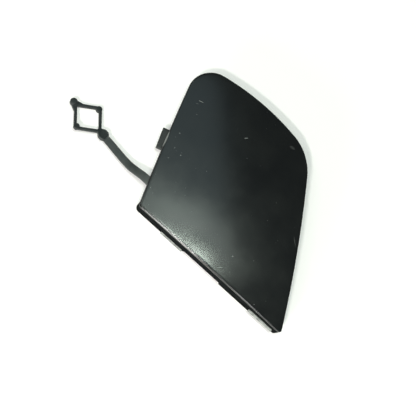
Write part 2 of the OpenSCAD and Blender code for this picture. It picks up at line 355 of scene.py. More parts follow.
def made_plain(source):
    bpy.context.view_layer.update()
    ready = source.evaluated_get(bpy.context.evaluated_depsgraph_get())
    mesh = bpy.data.meshes.new_from_object(ready)
    turn_faces_out(mesh)
    name = source.name
    bpy.data.objects.remove(source)
    mesh.name = name
    made = bpy.data.objects.new(name, mesh)
    bpy.context.scene.collection.objects.link(made)
    return made


def soften_edges(piece, width):
    edge = piece.modifiers.new("soft edges", "BEVEL")
    edge.width = width * MM
    edge.segments = 2
    edge.limit_method = "ANGLE"
    edge.angle_limit = math.radians(35)


def new_material(name, ior, shine):
    """A plain material. shine is its specular level."""
    material = bpy.data.materials.new(name)
    material.use_nodes = True
    shader(material).inputs["IOR"].default_value = ior
    shader(material).inputs["Specular IOR Level"].default_value = shine
    return material


def shader(material):
    return material.node_tree.nodes["Principled BSDF"]


def node(material, kind, **values):
    """A new node. A label with a capital names one of its inputs, any other a property of the node."""
    made = material.node_tree.nodes.new(kind)
    for label, value in values.items():
        if label[0].isupper():
            made.inputs[label].default_value = value
        else:
            setattr(made, label, value)
    return made


def join(material, a, b):
    material.node_tree.links.new(a, b)


def object_coords(material):
    return node(material, "ShaderNodeTexCoord").outputs["Object"]


def grain(material, coords, scale, detail=3.0):
    made = node(material, "ShaderNodeTexNoise", Scale=scale, Detail=detail, Roughness=0.55)
    join(material, coords, made.inputs["Vector"])
    return made.outputs[0]


def spread(material, value, low, high, to_low=0.0, to_high=1.0):
    made = node(material, "ShaderNodeMapRange")
    for label, amount in (("From Min", low), ("From Max", high), ("To Min", to_low), ("To Max", to_high)):
        made.inputs[label].default_value = amount
    join(material, value, made.inputs["Value"])
    return made.outputs[0]


def tinted_over(material, colour, other, share):
    """The other colour over the first one, which comes from a socket."""
    made = node(material, "ShaderNodeMix", data_type="RGBA", B=(*other, 1))
    join(material, colour, made.inputs["A"])
    join(material, share, made.inputs["Factor"])
    return made.outputs["Result"]


def patchy_tint(material, patches, colours, span):
    """The dark and the pale colour of a plastic, mixed in soft patches."""
    made = node(material, "ShaderNodeMix", data_type="RGBA", A=(*colours[0], 1), B=(*colours[1], 1))
    join(material, spread(material, patches, *span), made.inputs["Factor"])
    return made.outputs["Result"]


def add_share(material, value, other, share):
    return number(material.node_tree, "ADD", value, number(material.node_tree, "MULTIPLY", other, share))


def emboss(material, height, strength, depth):
    made = node(material, "ShaderNodeBump", Strength=strength, Distance=depth * MM)
    join(material, height, made.inputs["Height"])
    join(material, made.outputs[0], shader(material).inputs["Normal"])


# each mark is its middle in mm, half length, half width, turn in degrees and strength
FACE_MARKS = (
    (-26.3, 18.7, 1.5, 0.22, 16, 1.0),
    (-27.0, 16.6, 0.7, 0.15, 20, 0.4),
    (0.65, 19.8, 1.0, 0.22, 44, 1.0),
    (30.8, -34.2, 1.8, 0.16, 45, 0.6),
    (49.1, -1.8, 2.9, 0.12, -40, 0.35),
    (19.8, 32.0, 1.7, 0.8, 7, 0.15),
    (-16.5, -7.6, 0.36, 0.3, 0, 0.5),
    (-20.8, -6.8, 0.3, 0.3, 0, 0.4),
    (-23.6, 0.0, 0.45, 0.35, 30, 0.5),
    (-23.7, 12.3, 0.3, 0.25, 0, 0.4),
    (-2.8, -5.1, 0.25, 0.25, 0, 0.4),
    (31.8, -26.6, 0.36, 0.34, 0, 1.0),
    (53.7, -36.1, 0.28, 0.25, 0, 0.45),
    (-19.9, -12.2, 0.3, 0.25, 0, 0.4),
    (-16.8, -28.1, 0.3, 0.25, 0, 0.4),
    # painted highlight: a pale line on the left edge by the tab, for light caught between tab and face
    (-26.4, -6.3, 4.6, 0.42, -72.4, 1.0),
)


def face_marks(material, coords):
    total = 0.0
    for x, y, half_length, half_width, turn, strength in FACE_MARKS:
        place = node(material, "ShaderNodeMapping", vector_type="TEXTURE", Location=(x * MM, y * MM, 0),
                     Rotation=(0, 0, math.radians(turn)), Scale=(half_length * MM, half_width * MM, 1000))
        join(material, coords, place.inputs["Vector"])
        reach = node(material, "ShaderNodeVectorMath", operation="LENGTH")
        join(material, place.outputs[0], reach.inputs[0])
        spot = spread(material, reach.outputs["Value"], 1.0, 0.55, 0.0, strength)
        total = number(material.node_tree, "MAXIMUM", total, spot)
    return total


# wiping leaves long faint hairlines in two directions, each a turn in radians, a stretch and an offset
WIPES = ((0.35, 60, 0.0), (-0.9, 45, 7.3))
HAIR_FINENESS = 2600


def wiping_hairs(material, coords):
    hairs = 0.0
    for turn, stretch, offset in WIPES:
        place = node(material, "ShaderNodeMapping", Rotation=(0, 0, turn), Scale=(stretch, HAIR_FINENESS, 1),
                     Location=(offset, offset, 0))
        join(material, coords, place.inputs["Vector"])
        thin = spread(material, grain(material, place.outputs[0], 1.0, 2.0), 0.66, 0.76)
        hairs = number(material.node_tree, "MAXIMUM", hairs, thin)
    return hairs


def dust_specks(material, coords):
    dust = node(material, "ShaderNodeTexVoronoi", Scale=420)
    join(material, coords, dust.inputs["Vector"])
    chance = node(material, "ShaderNodeSeparateColor")
    join(material, dust.outputs["Color"], chance.inputs[0])
    return number(material.node_tree, "MULTIPLY", spread(material, dust.outputs["Distance"], 0.075, 0.04),
                  spread(material, chance.outputs[0], 0.78, 0.9, 0.0, 0.8))


def polished_plastic():
    material = new_material("polished black plastic", ior=1.58, shine=0.5)
    plastic = shader(material)
    coords = object_coords(material)
    marks, hairs = face_marks(material, coords), wiping_hairs(material, coords)
    patches = grain(material, coords, 70, 4.0)
    tint = patchy_tint(material, patches, ((0.0052, 0.0064, 0.0068), (0.0078, 0.0090, 0.0088)), (0.35, 0.65))
    # the marks are scratches and wear, save the last, which is a painted highlight by the tab; the specks are
    # dust
    wear_and_glint = number(material.node_tree, "MULTIPLY", marks, 0.75)
    wear_and_glint = add_share(material, wear_and_glint, dust_specks(material, coords), 0.5)
    join(material, tinted_over(material, tint, (0.24, 0.25, 0.24), wear_and_glint), plastic.inputs["Base Color"])
    rough = add_share(material, spread(material, patches, 0.35, 0.65, 0.14, 0.17), marks, 0.3)
    join(material, add_share(material, rough, hairs, 0.05), plastic.inputs["Roughness"])
    ripple = number(material.node_tree, "MULTIPLY", grain(material, coords, 900), 0.1)
    relief = add_share(material, add_share(material, ripple, hairs, -0.6), marks, -2.0)
    emboss(material, relief, strength=0.35, depth=0.012)
    return material


def matt_plastic(name, shine, patch_scale, grain_scale, colours, roughness, span=(0.35, 0.65), relief=0.5):
    """An unpolished side of the moulding: patchy in tint and roughness, with a fine grain."""
    material = new_material(name, ior=1.47, shine=shine)
    coords = object_coords(material)
    patches = grain(material, coords, patch_scale, 4.0)
    join(material, patchy_tint(material, patches, colours, span), shader(material).inputs["Base Color"])
    join(material, spread(material, patches, 0.3, 0.7, *roughness), shader(material).inputs["Roughness"])
    emboss(material, grain(material, coords, grain_scale, 2.0), relief, depth=0.03)
    return material


POLISHED = polished_plastic()
CORE_SIDE = matt_plastic("matt core side plastic", shine=0.4, patch_scale=120, grain_scale=2600,
                         colours=((0.012, 0.0135, 0.0138), (0.02, 0.022, 0.022)), roughness=(0.42, 0.55))
LIP_SIDE = matt_plastic("grained lip plastic", shine=0.0, patch_scale=160, grain_scale=2200,
                        colours=((0.008, 0.0092, 0.0094), (0.016, 0.0175, 0.0175)), roughness=(0.5, 0.62))


def face_and_lip():
    plan = FlatPlan()
    rings = [face_ring(depth) for depth in RING_DEPTHS]
    count = len(rings[0])
    arc_0, arc_1 = FACE_TURN_STEPS[0] + 1, FACE_TURN_STEPS[1] + 1
    edge_0 = len(EDGE_STOPS[0])
    lip_end = arc_0 + edge_0 + arc_1
    lip_start = count - 1

    def at(i, inset):
        for k in range(1, len(rings)):
            outer_depth, inner_depth = RING_DEPTHS[k - 1:k + 1]
            if inset <= inner_depth:
                share = max(inset - outer_depth, 0) / (inner_depth - outer_depth)
                return rings[k - 1][i] + (rings[k][i] - rings[k - 1][i]) * share

    def edge_radius(i):
        if i < arc_0:
            share = i / (arc_0 - 1)
        elif i < arc_0 + edge_0:
            share = 1.0
        elif i < lip_end:
            share = 1 - (i - arc_0 - edge_0) / (arc_1 - 1)
        else:
            share = 0.0
        share = share * share * (3 - 2 * share)
        return RIM_RADIUS + (FOLD_RADIUS - RIM_RADIUS) * share

    columns = []
    for i in range(count):
        radius = edge_radius(i)
        column = [plan.point(at(i, depth), 0, 1) for depth in FLAT_DEPTHS]
        for k in range(RIM_STEPS + 1):
            turn = math.radians(90 * k / RIM_STEPS)
            column.append(plan.point(at(i, radius * (1 - math.sin(turn))), -radius * (1 - math.cos(turn)), 1))
        for share in (0.5, 1.0):
            column.append(plan.point(at(i, 0), -(radius + (FACE_THICKNESS - radius) * share), 1))
        columns.append(column)
    for i in range(count):
        on_lip = i == lip_start or i < lip_end
        plan.strip(columns[i][:-2], columns[(i + 1) % count][:-2])
        plan.strip(columns[i][-3:], columns[(i + 1) % count][-3:], "lip side" if on_lip else "polished side")
    plan.fill([column[0] for column in columns], FACE_SPACING, 0, 1)

    run = [lip_start] + list(range(0, lip_end + 1))
    outer, inner = [], []
    left_x, right_x = at(lip_start, 0).x, at(lip_end, 0).x
    first_x, last_x = at(arc_0, 0).x, at(arc_0 + edge_0 - 1, 0).x
    for k, i in enumerate(run):
        spot = at(i, 0)
        foot = notch_height(spot.x)
        down = [columns[i][-1]]
        for share in LIP_LEVELS:
            down.append(plan.point(spot, -FACE_THICKNESS * (1 - share) + foot * share, 1 - share))
        outer.append(down)
        if k in (0, len(run) - 1):
            inner.append(down)
            continue
        x = spot.x
        if i < arc_0:
            x = left_x + (first_x - left_x) * (i + 1) / (arc_0 + 1)
        elif i >= arc_0 + edge_0:
            x = last_x + (right_x - last_x) * (i - arc_0 - edge_0 + 1) / (arc_1 + 1)
        up = [plan.point((x, LIP_THICKNESS), -FACE_THICKNESS, 1)]
        for share in LIP_LEVELS:
            height = -FACE_THICKNESS * (1 - share) + foot * share
            up.append(plan.point((x, LIP_THICKNESS), height, 1 - share))
        inner.append(up)
    for a, b in zip(range(len(run) - 1), range(1, len(run))):
        plan.strip(outer[a], outer[b], "lip side")
        plan.strip(inner[a], inner[b], "core side")
        plan.face((outer[a][-1], outer[b][-1], inner[b][-1], inner[a][-1]), "core side")
    border = [columns[i][-1] for i in range(lip_end, lip_start + 1)] + [up[0] for up in inner[1:-1]]
    plan.fill(border, UNDERSIDE_SPACING, -FACE_THICKNESS, 1, "core side")
    return plan.piece("face_and_lip")


FACE_TREE, given = new_tree("lift the face onto its crown", CROWN_SIZES,
                            ("Material", "Core side material", "Lip side material"))
close_tree(FACE_TREE, lift_to_crown(FACE_TREE, given, given["Geometry"]), given["Material"],
           (("core side", given["Core side material"]), ("lip side", given["Lip side material"])))
face = run_tree(face_and_lip(), FACE_TREE, {**CROWN_SIZES, "Material": POLISHED,
                                            "Core side material": CORE_SIDE, "Lip side material": LIP_SIDE})
soften_edges(face, width=0.22)
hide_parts("cover")
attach(face, "root")


# Hook toes. Two bars of the same plastic stand out from the lip, either side of its shallow middle. Their
# upper side catches the edge of the bumper's opening and their lower side slopes so that they slip in. They
# leave the mould with the lip, and their pale colour is a painted highlight for the light they catch.
TOES = ((15.4, 28.2, 1.9, 0.8), (69.3, 83.6, 4.7, 1.1))  # start and end along the lip, top and reach
TOE_HEIGHT = 1.9
TOE_DRAFT = 0.42
TOE_SLOPE = 0.4
TOE_IN_LIP = 1.0
TOE_STEPS = 12
# painted highlight: the toes' pale colours stand for light caught on them, not for the plastic's own tint
TOE_PAINTED_PALE = matt_plastic("toe plastic painted pale", shine=0.3, patch_scale=420, grain_scale=2600,
                      colours=((0.13, 0.135, 0.13), (0.38, 0.39, 0.37)), roughness=(0.45, 0.65),
                      span=(0.3, 0.6))


def add_bar(plan, section, x0, x1, steps, hang=None, frame_at=None):
    """A bar of one section of (across, height) points from x0 to x1, laid along X or by frame_at."""
    rows = []
    for k in range(steps + 1):
        x = x0 + (x1 - x0) * k / steps
        row = []
        for corner, (across, z) in enumerate(section):
            spot = Vector((x, across)) if frame_at is None else frame_at(x, across)
            row.append(plan.point(spot, z, hang[corner] if hang else 0))
        rows.append(row)
    for a, b in zip(rows, rows[1:]):
        plan.strip(a + a[:1], b + b[:1])
    plan.face(rows[0][::-1])
    plan.face(rows[-1])


toe_plan = FlatPlan()
for x0, x1, top, reach in TOES:
    bottom = top - TOE_HEIGHT
    toe_section = ((TOE_IN_LIP, bottom), (0.0, bottom), (-reach, top - TOE_HEIGHT * TOE_SLOPE),
                   (-reach, top - TOE_DRAFT * reach), (0.0, top), (TOE_IN_LIP, top))
    add_bar(toe_plan, toe_section, x0, x1, TOE_STEPS)
toes = toe_plan.piece("hook_toes")
toes.data.materials.append(TOE_PAINTED_PALE)
toes.data.shade_smooth()
soften_edges(toes, width=0.12)
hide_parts("cover")
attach(toes, "root")


# Locating tab. A flat tongue of the same moulding that reaches out past the left edge, hung from the face by
# its own web, with a small fillet where the two meet. It slides into a slot in the wall of the opening.
TAB_Y = 32.7
TAB_LENGTH = 10.4
TAB_OUT = 2.8
TAB_TAPER = 0.4
TAB_THICKNESS = 1.6
TAB_TOP = 6.4
TAB_WEB = (1.8, 3.4)  # from and to, in from the edge
TAB_FILLET = 1.2
TAB_STEPS = 8
IN_FACE = -FACE_THICKNESS / 2


def along_left_edge(run, inward):
    if inward < 0:
        inward *= 1 - TAB_TAPER / TAB_OUT * (run / TAB_LENGTH + 0.5)
    length = chord(FACE_CORNERS, 3)[2]
    s = (FACE_CORNERS[3].y - TAB_Y) / FACE_CORNERS[3].y * length
    middle = bowed_point(FACE_CORNERS, FACE_BOWS, 3, s)
    along = bowed_slope(FACE_CORNERS, FACE_BOWS, 3, s)
    return middle + along * run + Vector((-along.y, along.x)) * inward


def lifting_tree(name):
    tree, given = new_tree(name, CROWN_SIZES)
    close_tree(tree, lift_to_crown(tree, given, given["Geometry"]), given["Material"])
    return tree


tab_plan = FlatPlan()
fillet_turns = [math.radians(a) for a in range(0, 91, 15)]
fillet = [(TAB_WEB[0] - TAB_FILLET + TAB_FILLET * math.sin(turn),
           TAB_TOP + TAB_FILLET - TAB_FILLET * math.cos(turn)) for turn in fillet_turns]
tab_section = [(-TAB_OUT, TAB_TOP - TAB_THICKNESS), (-TAB_OUT, TAB_TOP)] + fillet
tab_hang = [0] * len(tab_section) + [1, 1, 0]
tab_section += [(TAB_WEB[0], IN_FACE), (TAB_WEB[1], IN_FACE), (TAB_WEB[1], TAB_TOP - TAB_THICKNESS)]
add_bar(tab_plan, tab_section, -TAB_LENGTH / 2, TAB_LENGTH / 2, TAB_STEPS, tab_hang, along_left_edge)
TAB_TREE = lifting_tree("lift the tab's web into the face")
tab = run_tree(tab_plan.piece("locating_tab"), TAB_TREE, {**CROWN_SIZES, "Material": CORE_SIDE})
soften_edges(tab, width=0.22)
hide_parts("cover")
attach(tab, "root")


# Snap arms and gussets. At the back two arms with barbs clip behind the upper edge of the opening, each with
# a gusset. They are alike and of the same moulding, so the tree sets one out along the lower edge's direction
# and then lifts its top into the face.
ARM_FIRST = -2.0
ARM_PITCH = 33.0
ARM_Y = 69.2
ARM_WIDTH = 9.0
ARM_THICKNESS = 1.8
BARB_OUT = 1.6
BARB_HEIGHT = 3.4
BARB_EDGE = 0.8
BARB_DRAFT = 0.3
ARM_LEAD = 0.2
GUSSET = 5.0
GUSSET_IN_ARM = 0.2
RIB_THICKNESS = 1.4
RIB_HEIGHT = 7.0


def add_plate(plan, x, width, profile, hang):
    """An upright plate across X. profile is (y, z) round its side view."""
    sides = [[plan.point((x + side * width / 2, y), z, h) for (y, z), h in zip(profile, hang)]
             for side in (-1, 1)]
    plan.strip(sides[0] + sides[0][:1], sides[1] + sides[1][:1])
    plan.face(sides[0][::-1])
    plan.face(sides[1])


arm_plan = FlatPlan()
arm_back = ARM_Y - ARM_THICKNESS
add_plate(arm_plan, 0, ARM_WIDTH,
          [(arm_back, 0), (ARM_Y - ARM_LEAD, 0), (ARM_Y + BARB_OUT, BARB_HEIGHT - BARB_EDGE),
           (ARM_Y + BARB_OUT, BARB_HEIGHT), (ARM_Y, BARB_HEIGHT + BARB_DRAFT), (ARM_Y, IN_FACE),
           (arm_back, IN_FACE)], [0, 0, 0, 0, 0, 1, 1])
add_plate(arm_plan, 0, RIB_THICKNESS,
          [(arm_back + GUSSET_IN_ARM, RIB_HEIGHT - GUSSET), (arm_back + GUSSET_IN_ARM, IN_FACE),
           (arm_back - GUSSET, IN_FACE), (arm_back - GUSSET, RIB_HEIGHT)], [0, 1, 1, 0])
ROW_SIZES = {"First arm": ARM_FIRST * MM, "Pitch": ARM_PITCH * MM, "Arms": 2.0}
ROW_TREE, given = new_tree("set out the arms", {**ROW_SIZES, **CROWN_SIZES})
row = ROW_TREE.nodes.new("GeometryNodeMeshLine")
row_start, row_step = (ROW_TREE.nodes.new("ShaderNodeCombineXYZ") for _ in range(2))
ROW_TREE.links.new(given["First arm"], row_start.inputs["X"])
ROW_TREE.links.new(given["Pitch"], row_step.inputs["X"])
ROW_TREE.links.new(row_start.outputs[0], row.inputs["Start Location"])
ROW_TREE.links.new(row_step.outputs[0], row.inputs["Offset"])
ROW_TREE.links.new(given["Arms"], row.inputs["Count"])
each = ROW_TREE.nodes.new("GeometryNodeInstanceOnPoints")
ROW_TREE.links.new(row.outputs[0], each.inputs["Points"])
ROW_TREE.links.new(given["Geometry"], each.inputs["Instance"])
placed = ROW_TREE.nodes.new("GeometryNodeRealizeInstances")
ROW_TREE.links.new(each.outputs[0], placed.inputs[0])
close_tree(ROW_TREE, lift_to_crown(ROW_TREE, given, placed.outputs[0]), given["Material"])
arms = run_tree(arm_plan.piece("snap_arms"), ROW_TREE, {**ROW_SIZES, **CROWN_SIZES, "Material": CORE_SIDE})
soften_edges(arms, width=0.2)
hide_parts("cover")
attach(arms, "root")


# Back ribs. A long shallow rib stiffens the face from each arm down towards the lip, in the same moulding.
# The right one meets the lip. The left one stops short of the left edge, which leans across its line there.
RIB_OVERLAP = 0.5
RIB_STARTS = (8.5, LIP_THICKNESS - RIB_OVERLAP)
RIB_END = ARM_Y - ARM_THICKNESS + RIB_OVERLAP
RIB_STEPS = 40
rib_plan = FlatPlan()
for k, rib_start in enumerate(RIB_STARTS):
    rib_ys = [rib_start + (RIB_END - rib_start) * step / RIB_STEPS for step in range(RIB_STEPS + 1)]
    add_plate(rib_plan, ARM_FIRST + ARM_PITCH * k, RIB_THICKNESS,
              [(y, RIB_HEIGHT) for y in rib_ys] + [(y, IN_FACE) for y in rib_ys[::-1]],
              [0] * len(rib_ys) + [1] * len(rib_ys))
RIB_TREE = lifting_tree("lift the ribs into the face")
ribs = run_tree(rib_plan.piece("back_ribs"), RIB_TREE, {**CROWN_SIZES, "Material": CORE_SIDE})
soften_edges(ribs, width=0.2)
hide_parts("cover")
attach(ribs, "root")


# Tether. A flat strap of the same plastic, moulded on under the left edge, that droops to the table and
# twists a little on the way. The tree sweeps its rounded flat section along the strap's middle line.
ROOT = Vector((-4.5, 11.5))
TETHER_ANGLE = math.radians(6.7)
ROOT_Z = 7.9
TETHER_IN = 6.0
ROOT_LEVEL = 2.0
BEND = (12.5, 4.2)  # along the tether and above the table
BEND_RUN = 3
BEND_STEPS = 8
SWAY_ROOT = 0.7
SWAY_BEND = -0.5
STRAP_TAPER = 0.15
LOOP_U = 32.3
LOOP_LEVEL = 3.0
LOOP_OVERLAP = 0.6
END_BEND_RUN = 2.5
END_RISE = 0.03
TWIST_START = 14
TWIST_RUN = LOOP_U - 18
LOOP_TWIST = math.radians(11)
LOOP_DIP = math.radians(3)
LOOP_LENGTH = 16.8
LOOP_WIDTH = 16.0
BAR_WIDTH = 1.4
BAR_HEIGHT = 2.0
NUB_RADIUS = 1.45
NUB_INSIDE = 0.9
TABLE_GAP = 0.05
LOOP_Z = ((LOOP_WIDTH / 2 - NUB_INSIDE + NUB_RADIUS) * math.sin(LOOP_TWIST)
          + BAR_HEIGHT / 2 * math.cos(LOOP_TWIST) + LOOP_LENGTH / 2 * math.sin(LOOP_DIP) + TABLE_GAP)


def beside_strap(u, v):
    """Plan point at u along the tether from its root and v across it."""
    return ROOT + Vector((-u * math.cos(TETHER_ANGLE) + v * math.sin(TETHER_ANGLE),
                          u * math.sin(TETHER_ANGLE) + v * math.cos(TETHER_ANGLE)))


def sway(u):
    """How far the strap's middle line lies to the side of the straight line from root to loop."""
    if u < BEND[0]:
        start, end, share = SWAY_ROOT, SWAY_BEND, max(u, 0) / BEND[0]
    else:
        start, end, share = SWAY_BEND, 0.0, (u - BEND[0]) / (LOOP_U - BEND[0])
    return start + (end - start) * (1 - math.cos(math.pi * share)) / 2


def rounded_bend(a, b, c, run):
    """Points round the corner b between a and c, from run before it to run after it."""
    a, b, c = Vector(a), Vector(b), Vector(c)
    start, end = b + (a - b).normalized() * run, b + (c - b).normalized() * run
    return [start * (1 - t) ** 2 + b * 2 * t * (1 - t) + end * t * t
            for t in (k / BEND_STEPS for k in range(BEND_STEPS + 1))]


def straight(a, b, first, last):
    """Points between a and b, at the tenths from first to last."""
    return [Vector(a).lerp(Vector(b), k / 10) for k in range(first, last + 1)]


line_in, line_root, line_bend = (-TETHER_IN, ROOT_Z), (ROOT_LEVEL, ROOT_Z), BEND
line_loop = (LOOP_U - LOOP_LEVEL, LOOP_Z + LOOP_LEVEL * math.tan(LOOP_DIP))
line_end = (LOOP_U - LOOP_OVERLAP, LOOP_Z + END_RISE)
strap_line = [Vector(line_in)] + rounded_bend(line_in, line_root, line_bend, BEND_RUN)
strap_line += straight(line_root, line_bend, 3, 7) + rounded_bend(line_root, line_bend, line_loop, BEND_RUN)
strap_line += straight(line_bend, line_loop, 3, 8)
strap_line += rounded_bend(line_bend, line_loop, line_end, END_BEND_RUN) + [Vector(line_end)]
path = bpy.data.curves.new("tether", "CURVE")
path.dimensions = "3D"
spline = path.splines.new("POLY")
spline.points.add(len(strap_line) - 1)
for spot, (u, z) in zip(spline.points, strap_line):
    xy = beside_strap(u, sway(u)) + PLAN_HOME
    spot.co = (xy.x * MM, xy.y * MM, z * MM, 1)
    spot.radius = 1 - STRAP_TAPER * max(u, 0) / LOOP_U
    spot.tilt = -LOOP_TWIST * min(max((u - TWIST_START) / TWIST_RUN, 0), 1)
strap_path = bpy.data.objects.new("tether", path)
bpy.context.scene.collection.objects.link(strap_path)


def rounded_corners(tree, curve, count, radius):
    turned = tree.nodes.new("GeometryNodeFilletCurve")
    turned.mode = "POLY"
    turned.inputs["Count"].default_value = count
    tree.links.new(curve, turned.inputs["Curve"])
    tree.links.new(radius, turned.inputs["Radius"])
    return turned.outputs[0]


def swept(tree, curve, width, height, rounding):
    """A bar of a rounded flat section along the curve, which also gives the section's scale."""
    section = tree.nodes.new("GeometryNodeCurvePrimitiveQuadrilateral")
    tree.links.new(width, section.inputs["Width"])
    tree.links.new(height, section.inputs["Height"])
    level = tree.nodes.new("GeometryNodeSetCurveNormal")
    level.mode = "Z_UP"
    tree.links.new(curve, level.inputs["Curve"])
    sweep = tree.nodes.new("GeometryNodeCurveToMesh")
    sweep.inputs["Fill Caps"].default_value = True
    tree.links.new(level.outputs[0], sweep.inputs["Curve"])
    tree.links.new(rounded_corners(tree, section.outputs[0], 4, rounding), sweep.inputs["Profile Curve"])
    tree.links.new(tree.nodes.new("GeometryNodeInputRadius").outputs[0], sweep.inputs["Scale"])
    return sweep.outputs[0]


STRAP_SIZES = {"Width": 4.0 * MM, "Thickness": 1.7 * MM, "Edge rounding": 0.45 * MM}
STRAP_TREE, given = new_tree("sweep the tether along its line", STRAP_SIZES)
strap_bar = swept(STRAP_TREE, given["Geometry"], given["Width"], given["Thickness"], given["Edge rounding"])
close_tree(STRAP_TREE, strap_bar, given["Material"])


# painted sheen: where along X the strap is painted paler towards its root, for the glow its flatter run
# reflects
SHEEN_FROM, SHEEN_TO = -0.040, -0.022  # metres along X
TETHER_PATCHES = 260


def tether_plastic():
    """The matt plastic, with a painted sheen: paler towards the strap's root in soft patches."""
    material = matt_plastic("satin tether plastic", shine=0.3, patch_scale=TETHER_PATCHES, grain_scale=3000,
                            colours=((0.017, 0.021, 0.022), (0.032, 0.037, 0.037)), roughness=(0.38, 0.5),
                            span=(0.35, 0.68), relief=0.4)
    colour = shader(material).inputs["Base Color"]
    coords = object_coords(material)
    along = node(material, "ShaderNodeSeparateXYZ")
    join(material, coords, along.inputs[0])
    # painted sheen in patches, rising towards the root
    near_root = spread(material, along.outputs["X"], SHEEN_FROM, SHEEN_TO, 0.0, 0.9)
    patches = grain(material, coords, TETHER_PATCHES, 4.0)
    painted_sheen = number(material.node_tree, "MULTIPLY", near_root, patches)
    paler = tinted_over(material, colour.links[0].from_socket, (0.11, 0.117, 0.11), painted_sheen)
    join(material, paler, colour)
    return material


TETHER_BLACK = tether_plastic()
strap = run_tree(strap_path, STRAP_TREE, {**STRAP_SIZES, "Material": TETHER_BLACK})
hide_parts("cover")
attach(strap, "root")


# Tether root. A short block of the same plastic under the face, moulded on with it, that the strap grows out
# of. Its top is lifted into the face, and its underside is level with the strap's.
ROOT_HALF_WIDTH = 2.6
ROOT_FRONT = -2.0
ROOT_STEPS = 4
ROOT_UNDERSIDE = ROOT_Z - STRAP_SIZES["Thickness"] / 2 / MM
root_plan = FlatPlan()
root_section = [(SWAY_ROOT + side * ROOT_HALF_WIDTH, z) for side, z in
                ((-1, ROOT_UNDERSIDE), (1, ROOT_UNDERSIDE), (1, IN_FACE), (-1, IN_FACE))]
add_bar(root_plan, root_section, -TETHER_IN, ROOT_FRONT, ROOT_STEPS, [0, 0, 1, 1], beside_strap)
ROOT_TREE = lifting_tree("lift the tether's root into the face")
root = run_tree(root_plan.piece("tether_root"), ROOT_TREE, {**CROWN_SIZES, "Material": CORE_SIDE})
soften_edges(root, width=0.25)
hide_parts("cover")
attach(root, "root")


# Anchor loop. The tether ends in a diamond of thin bars with a round knob at its far corner, a swelling at
# each side corner and shoulders at the near one, so that it folds through a hole and then holds. It lies
# twisted, with one side corner on the table. Its bars are swept, and then all is fused and smoothed.
KNOB_RADIUS = 1.8
KNOB_HEIGHT = 2.8
KNOB_OUT = 1.5
KNOB_EDGE = 0.7
NUB_PROUD = 0.3
NUB_EDGE = 0.4
SHOULDER = 2.4
SHOULDER_HALF = ((-4.2, 1.7), (-3.4, SHOULDER - 0.15), (-2.9, SHOULDER), (-1.5, SHOULDER),
                 (-0.9, SHOULDER - 0.3), (1.3, 0.5))
SHOULDER_LEVELS = (0.05, BAR_HEIGHT + 0.4)
WEB_LENGTH = 3.2
WEB_NOTCH = 1.2
WEB_LEVELS = (0.15, BAR_HEIGHT - 0.05)
FUSE_VOXEL = 0.13
SMOOTH_PASSES = 4
KNOB_SEGMENTS = 28
half_length, half_width = LOOP_LENGTH / 2, LOOP_WIDTH / 2
loop_path = bpy.data.curves.new("anchor_loop", "CURVE")
loop_path.dimensions = "3D"
spline = loop_path.splines.new("POLY")
spline.points.add(3)
spline.use_cyclic_u = True
for spot, (u, v) in zip(spline.points, ((0, 0), (half_length, half_width), (LOOP_LENGTH, 0),
                                        (half_length, -half_width))):
    spot.co = (u * MM, v * MM, BAR_HEIGHT / 2 * MM, 1)
loop_curve = bpy.data.objects.new("anchor_loop", loop_path)
bpy.context.scene.collection.objects.link(loop_curve)
LOOP_SIZES = {"Bar width": BAR_WIDTH * MM, "Bar height": BAR_HEIGHT * MM, "Edge rounding": 0.4 * MM,
              "Corner rounding": 1.3 * MM}
LOOP_TREE, given = new_tree("sweep the bars round the diamond", LOOP_SIZES)
bar_line = rounded_corners(LOOP_TREE, given["Geometry"], 8, given["Corner rounding"])
bars = swept(LOOP_TREE, bar_line, given["Bar width"], given["Bar height"], given["Edge rounding"])
close_tree(LOOP_TREE, bars, given["Material"])
loop = run_tree(loop_curve, LOOP_TREE, {**LOOP_SIZES, "Material": TETHER_BLACK})


def stacked(solid, levels):
    """A closed form through outlines of (u, v) points, each at its height, from the bottom to the top."""
    rings = [[solid.verts.new((u * MM, v * MM, z * MM)) for u, v in outline] for outline, z in levels]
    for low, high in zip(rings, rings[1:]):
        for k in range(len(low)):
            after = (k + 1) % len(low)
            solid.faces.new((low[k], low[after], high[after], high[k]))
    solid.faces.new(rings[0][::-1])
    solid.faces.new(rings[-1])


def domed_knob(solid, u, v, radius, height, edge):
    """A turned knob whose bottom and top edges are rounded by edge."""
    inner = radius - edge
    turns = [math.radians(a) for a in range(30, 91, 20)]
    profile = [(inner, 0.0)] + [(inner + edge * math.sin(a), edge - edge * math.cos(a)) for a in turns]
    turns = [math.radians(a) for a in range(0, 91, 15)]
    profile += [(inner + edge * math.cos(a), height - edge + edge * math.sin(a)) for a in turns]
    around = [2 * math.pi * k / KNOB_SEGMENTS for k in range(KNOB_SEGMENTS)]
    stacked(solid, [([(u + r * math.cos(a), v + r * math.sin(a)) for a in around], z) for r, z in profile])


